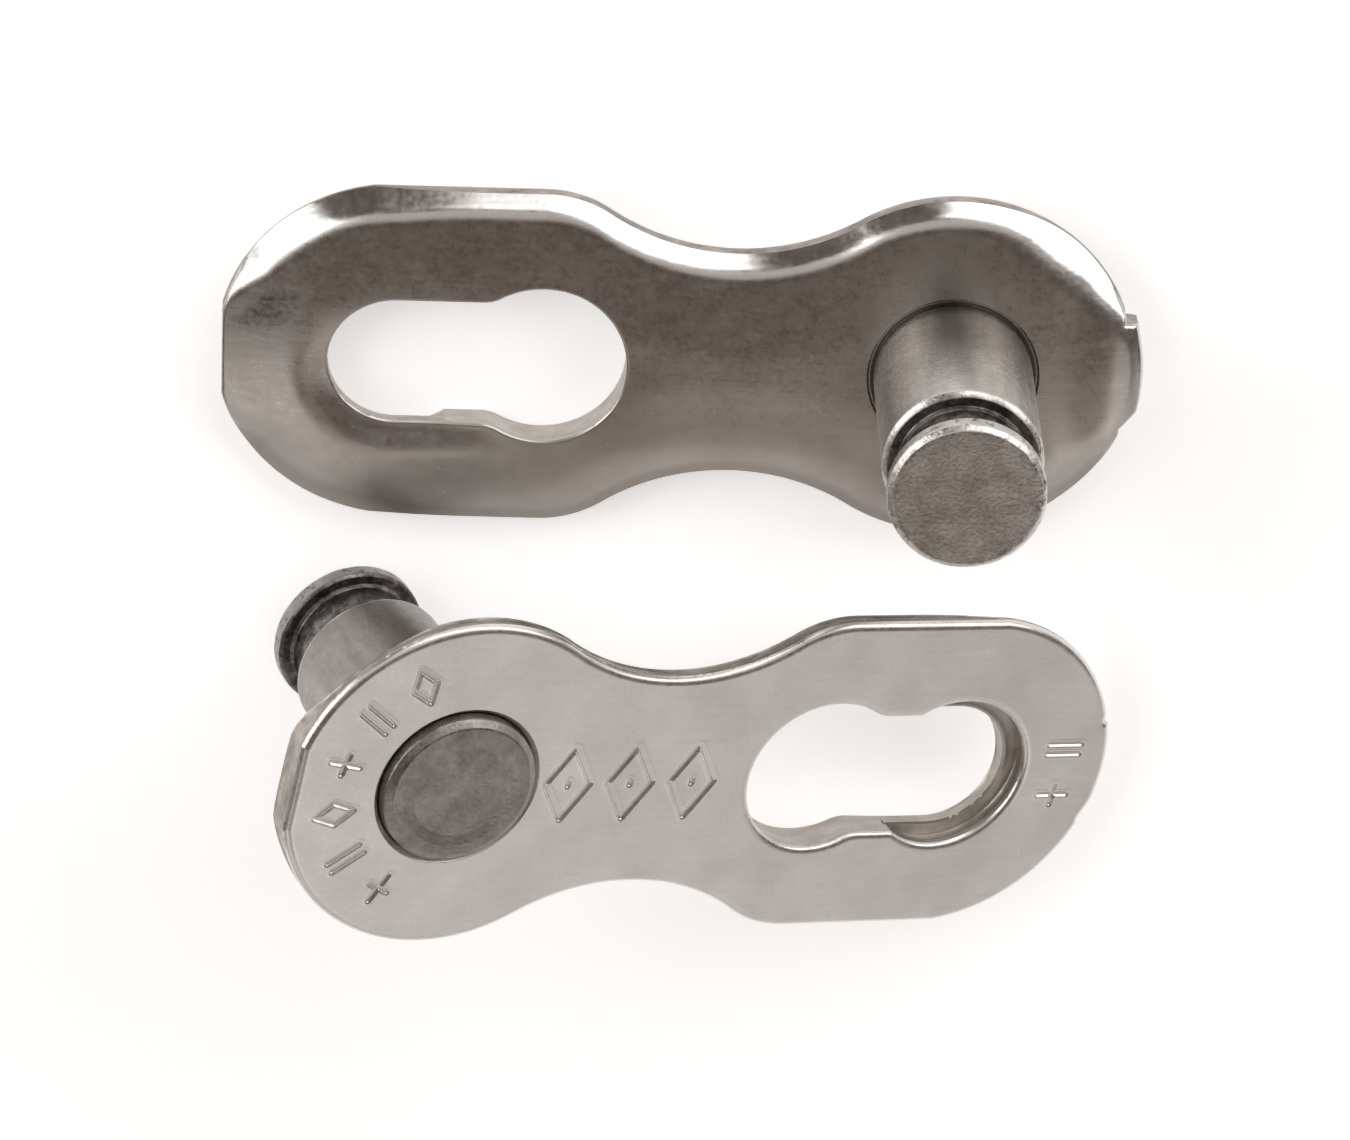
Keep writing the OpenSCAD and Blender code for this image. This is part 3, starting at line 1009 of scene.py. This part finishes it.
class Nodes:
    """Short names for the shader nodes that the materials use."""

    def __init__(self, name):
        self.material = bpy.data.materials.new(name)
        self.material.use_nodes = True
        self.tree = self.material.node_tree
        self.bsdf = self.tree.nodes["Principled BSDF"]

    def new(self, kind, **settings):
        node = self.tree.nodes.new(kind)
        for key, value in settings.items():
            setattr(node, key, value)
        return node

    def put(self, socket, value):
        if isinstance(value, bpy.types.NodeSocket):
            self.tree.links.new(value, socket)
        else:
            socket.default_value = value

    def attribute(self, name, output="Vector"):
        return self.new("ShaderNodeAttribute", attribute_name=name).outputs[output]

    def math(self, operation, a, b=0.0):
        node = self.new("ShaderNodeMath", operation=operation)
        for socket, value in zip(node.inputs, (a, b)):
            self.put(socket, value)
        return node.outputs[0]

    def plus(self, a, b):
        return self.math("ADD", a, b)

    def less(self, a, b):
        return self.math("SUBTRACT", a, b)

    def times(self, *values):
        out = values[0]
        for value in values[1:]:
            out = self.math("MULTIPLY", out, value)
        return out

    def weighted(self, *parts):
        """Sum of values, each times its weight."""
        out = self.times(*parts[0])
        for part in parts[1:]:
            out = self.plus(out, self.times(*part))
        return out

    def length(self, a, b):
        return self.math("SQRT", self.weighted((a, a), (b, b)))

    def mapped(self, vector, scale):
        node = self.new("ShaderNodeMapping")
        self.put(node.inputs["Vector"], vector)
        node.inputs["Scale"].default_value = scale
        return node.outputs[0]

    def texture(self, kind, vector, **values):
        node = self.new("ShaderNodeTex" + kind)
        self.put(node.inputs["Vector"], vector)
        for name, value in values.items():
            node.inputs[name].default_value = value
        return node.outputs

    def noise(self, vector, scale, detail, rough=0.6):
        return self.texture("Noise", vector, Scale=scale, Detail=detail, Roughness=rough)["Fac"]

    def cells(self, vector, scale):
        out = self.texture("Voronoi", vector, Scale=scale)
        return out["Distance"], out["Color"]

    def span(self, value, low, high, to_low=0.0, to_high=1.0):
        """Maps low..high to to_low..to_high, and holds it there beyond."""
        node = self.new("ShaderNodeMapRange", clamp=True)
        names = ("Value", "From Min", "From Max", "To Min", "To Max")
        for key, v in zip(names, (value, low, high, to_low, to_high)):
            self.put(node.inputs[key], v)
        return node.outputs[0]

    def window(self, value, rise_from, rise_to, fall_from, fall_to):
        """One between the rise and the fall, and nought outside them."""
        fall = self.span(value, fall_from, fall_to, 1.0, 0.0)
        return self.times(self.span(value, rise_from, rise_to), fall)

    def mix(self, factor, a, b):
        node = self.new("ShaderNodeMix", data_type="RGBA")
        self.put(node.inputs[0], factor)
        self.put(node.inputs[6], a)
        self.put(node.inputs[7], b)
        return node.outputs[2]

    def split(self, vector):
        node = self.new("ShaderNodeSeparateXYZ")
        self.put(node.inputs[0], vector)
        return node.outputs

    def finish(self, colour, rough, height, distance):
        """Ends a metal, with the bump of a height in metres."""
        node = self.new("ShaderNodeBump")
        self.put(node.inputs["Height"], height)
        node.inputs["Distance"].default_value = distance
        node.inputs["Strength"].default_value = BUMP_STRENGTH
        self.put(self.bsdf.inputs["Base Color"], colour)
        self.put(self.bsdf.inputs["Metallic"], 1.0)
        self.put(self.bsdf.inputs["Roughness"], rough)
        self.put(self.bsdf.inputs["Normal"], node.outputs[0])
        return self.material


def tip_stain(n, x, y, mottle, fine):
    """A grainy oval with a ragged edge, on one corner of the slot's tip."""
    x, y = n.less(x, STAIN_X), n.less(y, STAIN_Y)
    along = n.math("DIVIDE", n.weighted((x, STAIN_AXIS[0]), (y, STAIN_AXIS[1])), STAIN_LONG)
    across = n.math("DIVIDE", n.weighted((x, -STAIN_AXIS[1]), (y, STAIN_AXIS[0])), STAIN_WIDE)
    reach = n.plus(n.length(along, across), n.times(n.less(mottle, 0.5), 1.2))
    return n.times(n.span(reach, 0.4, 1.2, 1.0, 0.0), n.span(fine, 0.35, 0.6, 1.0, 0.45))


def nickel_material(name, face_tone, warm, soft_side):
    """Nickel plating: satin faces with a fine grain, a mirror-bright bevel and browner sheared walls."""
    n = Nodes(name)
    where = n.attribute("half_mm")
    zone = n.attribute("zone", "Fac")
    bevel = n.attribute("bevel", "Fac")
    x, y, _ = n.split(where)
    inner = n.math("LESS_THAN", zone, INNER_FACE + 0.5)
    wall = n.span(zone, RIM_WALL - 0.5, RIM_WALL)
    brushed = n.noise(n.mapped(where, (0.35, 4.0, 4.0)), 2.2, 1.5, 0.5)
    streaks = n.noise(n.mapped(where, (0.45, 3.0, 3.0)), 2.2, 1.5)
    cloud = n.noise(where, 0.55, 3.0, 0.55)
    mottle = n.noise(where, 2.6, 2.5)
    fine = n.noise(where, 8.0, 1.0, 0.55)
    shade = n.weighted((cloud, 0.65), (brushed, 0.15), (mottle, 0.12), (fine, 0.08))
    shade = n.span(shade, 0.35, 0.65)
    face = n.mix(shade, grey(face_tone * 0.9, warm * 1.2), grey(face_tone * 1.08, warm))
    # small bright spots where the plating is bruised
    near, tint = n.cells(where, 2.4)
    some = n.math("GREATER_THAN", n.split(tint)[0], 0.62)
    face = n.mix(n.times(n.span(near, 0.05, 0.1, 0.35, 0.0), some), face, grey(0.9, 0.02))
    # the bevel keeps its mirror, duller on the side that was pressed softly
    dull = n.times(bevel, n.times(n.span(y, 0.8, 2.0), float(soft_side)))
    face = n.mix(n.times(bevel, 0.6), face, grey(0.7, 0.01))
    face = n.mix(dull, face, grey(0.4, 0.08))
    stain = n.times(tip_stain(n, x, y, mottle, fine), inner, 0.85 * soft_side)
    face = n.mix(stain, face, grey(0.16, 0.04))
    # painted shade in the ring gap round the pin's base, on the inner face
    ring = n.span(n.length(x, y), SHANK_D / 2 + 0.06, SHANK_D / 2 + 0.1, 1.0, 0.0)
    face = n.mix(n.times(inner, ring), face, grey(0.1, 0.06))
    # sheared walls, paler in the slot
    blotch = n.span(n.noise(n.mapped(where, (1.0, 1.0, 2.2)), 1.6, 6.0, 0.7), 0.35, 0.65)
    walls = n.mix(blotch, grey(WALL_TONE * 0.55, 0.11), grey(WALL_TONE * 1.15, 0.08))
    walls = n.mix(n.times(n.span(zone, RIM_WALL, SLOT_WALL), 0.45), walls, grey(0.62, 0.07))
    # roughness of the face, less on the bevel and more where it is dull, sheared or pressed
    rough = n.span(n.weighted((mottle, 0.5), (fine, 0.5)), 0.3, 0.7, 0.24, 0.36)
    rough = n.less(rough, n.times(bevel, 0.1))
    rough = n.plus(rough, n.times(dull, 0.14))
    rough = n.plus(rough, n.times(wall, 0.12))
    rough = n.plus(rough, n.times(inner, n.times(n.span(y, 1.2, 3.0), 0.12 * soft_side)))
    # brushed grain on the face and streaks along the bevel
    grain = n.times(fine, n.less(0.1, n.times(bevel, 0.04)))
    height = n.plus(n.times(brushed, 0.25), grain)
    height = n.plus(height, n.times(bevel, streaks, 0.13))
    return n.finish(n.mix(wall, face, walls), rough, height, NICKEL_BUMP)


def painted_shank_stripe(n, x, y, z, centre, core, reach, strength, top):
    """A painted stripe of reflection, dark or bright, up the front of the shank, that fades out sideways
    and over the heights in top.
    """
    front = n.times(n.math("LESS_THAN", y, 0.0), n.math("GREATER_THAN", z, PLATE_T - SEAT_DEPTH))
    across = n.span(n.math("ABSOLUTE", n.less(x, centre)), core, reach, strength, 0.0)
    return n.times(across, front, n.span(z, *top, 1.0, 0.0))


def pin_material(name, tone):
    """Bare steel: a streaky shank with a painted dark reflection and a painted highlight up its front, a
    pitted groove painted nearly black as shade, and edges that are worn and painted bright as highlights.
    """
    n = Nodes(name)
    where = n.attribute("half_mm")
    x, y, z = n.split(where)
    radius = n.length(x, y)
    streaks = n.noise(n.mapped(where, (1.0, 1.0, 0.12)), 1.5, 3.0)
    cloud = n.noise(where, 0.9, 3.0)
    mottle = n.noise(where, 3.0, 3.0, 0.65)
    fine = n.noise(where, 11.0, 1.5)
    shade = n.span(n.weighted((streaks, 0.5), (cloud, 0.25), (mottle, 0.25)), 0.36, 0.64)
    colour = n.mix(shade, grey(tone * 0.68, 0.09), grey(tone * 1.22, 0.045))
    # a painted dark reflection and a painted highlight run up the front of the shank
    dark = painted_shank_stripe(n, x, y, z, 0.2, 0.15, 0.8, 0.85, (2.4, 5.3))
    bright = painted_shank_stripe(n, x, y, z, -0.8, 0.1, 0.5, 0.18, (4.0, 5.2))
    colour = n.mix(dark, colour, grey(tone * 0.25, 0.09))
    colour = n.mix(bright, colour, grey(0.85, 0.04))
    # pits gather at the rims of the head, and the groove is painted nearly black as shade
    pits = n.span(n.noise(where, 4.5, 4.0, 0.75), 0.4, 0.46, 0.8, 0.0)
    rim = n.times(n.span(z, HEAD_Z, HEAD_Z + 0.1), n.span(radius, HEAD_R - 0.3, HEAD_R - 0.1))
    colour = n.mix(n.times(pits, n.plus(n.times(rim, 0.8), 0.12)), colour, grey(0.08, 0.05))
    painted_groove_shade = n.mix(n.span(mottle, 0.42, 0.66), grey(0.07, 0.08), grey(0.25, 0.07))
    in_groove = n.window(z, GROOVE_Z - 0.1, GROOVE_Z, HEAD_Z + 0.02, HEAD_Z + 0.1)
    colour = n.mix(in_groove, colour, painted_groove_shade)
    # wear and painted highlights in patches, pale and smoother: the shank's end and the head's outer edge
    patchy = n.span(n.noise(where, 1.6, 4.0), 0.45, 0.62)
    shank_edge = n.window(z, GROOVE_Z - 0.2, GROOVE_Z - 0.12, GROOVE_Z - 0.07, GROOVE_Z - 0.02)
    outer_edge = n.span(radius, HEAD_R - 0.14, HEAD_R - 0.06)
    head_edge = n.times(n.span(z, TOP_Z - 0.16, TOP_Z - 0.08), outer_edge)
    worn = n.times(n.math("MAXIMUM", shank_edge, head_edge), patchy)
    colour = n.mix(n.times(worn, 0.7), colour, grey(0.8, 0.03))
    rough = n.less(n.span(fine, 0.3, 0.7, 0.3, 0.46), n.times(worn, 0.12))
    return n.finish(colour, rough, n.plus(fine, n.times(mottle, 0.4)), STEEL_BUMP)


# Floor, light and camera

FLOOR_HALF = 0.6
PAPER_LIFT = 0.44
LAMP_AWAY = 0.4
WARM_LAMP = (1.0, 0.86, 0.76)
CAMERA_AZIMUTH = 6.4
CAMERA_ELEVATION = 62.0
CAMERA_ROLL = math.radians(175.3)
CAMERA_AWAY = 0.181
CAMERA_TARGET = Vector((-0.00007, 0.00091, 0))
CAMERA_LENS = 207.5


def direction(azimuth, elevation):
    """Unit vector towards a direction in degrees. Azimuth 0 is the camera's side, -Y."""
    az, el = math.radians(azimuth), math.radians(elevation)
    return Vector((math.sin(az) * math.cos(el), -math.cos(az) * math.cos(el), math.sin(el)))


def white_floor():
    """White paper under the halves, which keeps their shadow."""
    mesh = bpy.data.meshes.new("floor")
    corners = [(FLOOR_HALF * x, FLOOR_HALF * y, 0) for x, y in ((-1, -1), (1, -1), (1, 1), (-1, 1))]
    mesh.from_pydata(corners, [], [(0, 1, 2, 3)])
    floor = bpy.data.objects.new("floor", mesh)
    link(floor)
    n = Nodes("white_paper")
    n.put(n.bsdf.inputs["Base Color"], grey(0.97, 0))
    n.put(n.bsdf.inputs["Roughness"], 0.9)
    n.put(n.bsdf.inputs["Specular IOR Level"], 0.0)
    # seen directly, in metal or through glass, the paper is lifted to white
    path = n.new("ShaderNodeLightPath").outputs
    seen = n.math("MAXIMUM", path["Is Camera Ray"], path["Is Glossy Ray"])
    seen = n.math("MAXIMUM", seen, path["Is Transmission Ray"])
    n.put(n.bsdf.inputs["Emission Color"], (1, 1, 1, 1))
    n.put(n.bsdf.inputs["Emission Strength"], n.times(seen, PAPER_LIFT))
    mesh.materials.append(n.material)


def soft_box(name, azimuth, elevation, radiance, wide, tall, colour=(1, 1, 1)):
    """Oblong lamp that looks at the object from a direction, as bright as its radiance says."""
    light = bpy.data.lights.new(name, "AREA")
    light.shape = "RECTANGLE"
    light.size, light.size_y = wide, tall
    light.color = colour
    light.energy = math.pi * wide * tall * radiance
    lamp = bpy.data.objects.new(name, light)
    back = direction(azimuth, elevation)
    lamp.location = back * LAMP_AWAY
    lamp.rotation_euler = back.to_track_quat("Z", "Y").to_euler()
    link(lamp)


def studio():
    """Bright boxes low in front with a gap between them, dimmer ones above and behind, a dark ceiling."""
    world = bpy.data.worlds.new("studio")
    world.use_nodes = True
    background = world.node_tree.nodes["Background"]
    background.inputs["Color"].default_value = (1.0, 0.78, 0.65, 1)
    background.inputs["Strength"].default_value = 0.12
    bpy.context.scene.world = world
    soft_box("front_right", -38.9, 24, 2.3, 0.62, 0.19)
    soft_box("front_left", 68, 27, 2.4, 0.33, 0.29)
    soft_box("front_high", 0, 54, 0.5, 0.75, 0.25)
    soft_box("back_low", 190, 19, 0.5, 1.1, 0.33)
    soft_box("back_high", 185, 48, 0.21, 0.36, 0.2, WARM_LAMP)
    soft_box("back_left", 148, 47, 0.7, 0.18, 0.16)
    soft_box("back_right", 220, 47, 0.7, 0.16, 0.16)


def photo_camera():
    """Camera of the photograph, fitted to half A."""
    camera = bpy.data.objects.new("photo_camera", bpy.data.cameras.new("photo_camera"))
    camera.data.sensor_width = 36
    camera.data.lens = CAMERA_LENS
    camera.data.clip_start = 0.005
    camera.data.clip_end = 5
    back = direction(CAMERA_AZIMUTH, CAMERA_ELEVATION)
    right = direction(CAMERA_AZIMUTH + 90, 0)
    up = back.cross(right)
    c, s = math.cos(CAMERA_ROLL), math.sin(CAMERA_ROLL)
    right, up = right * c + up * s, up * c - right * s
    rot = Matrix((right, up, back)).transposed().to_4x4()
    camera.matrix_world = Matrix.Translation(CAMERA_TARGET + back * CAMERA_AWAY) @ rot
    link(camera)
    bpy.context.scene.camera = camera


# The two halves

def add_piece(name, shell, place, node, material):
    piece = build_object(name, shell, place)
    piece.data.materials.append(material)
    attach(piece, "root")
    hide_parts(node)


HALVES = {
    "a": {"pin_nose": 0.2, "slot_nose": SHEARED, "soft_side": 1,
          "face_tone": 0.5, "warm": 0.06, "pin_tone": 0.55, "pin_seed": 31},
    "b": {"pin_nose": SHEARED, "slot_nose": 0.02, "soft_side": 0,
          "face_tone": 0.71, "warm": 0.035, "pin_tone": 0.3, "pin_seed": 47},
}

bpy.context.scene.view_settings.view_transform = "Standard"
photo_camera()
studio()
white_floor()
for key, half in HALVES.items():
    place = placement("pin_" + key)
    nickel = nickel_material("nickel_" + key, half["face_tone"], half["warm"], half["soft_side"])
    steel = pin_material("steel_" + key, half["pin_tone"])
    plate, pin = plate_shell(half_shape(half)), pin_shell(half["pin_seed"])
    add_piece("stamped_plate_" + key, plate, place, "outer_plate_" + key, nickel)
    add_piece("turned_pin_" + key, pin, place, "pin_" + key, steel)
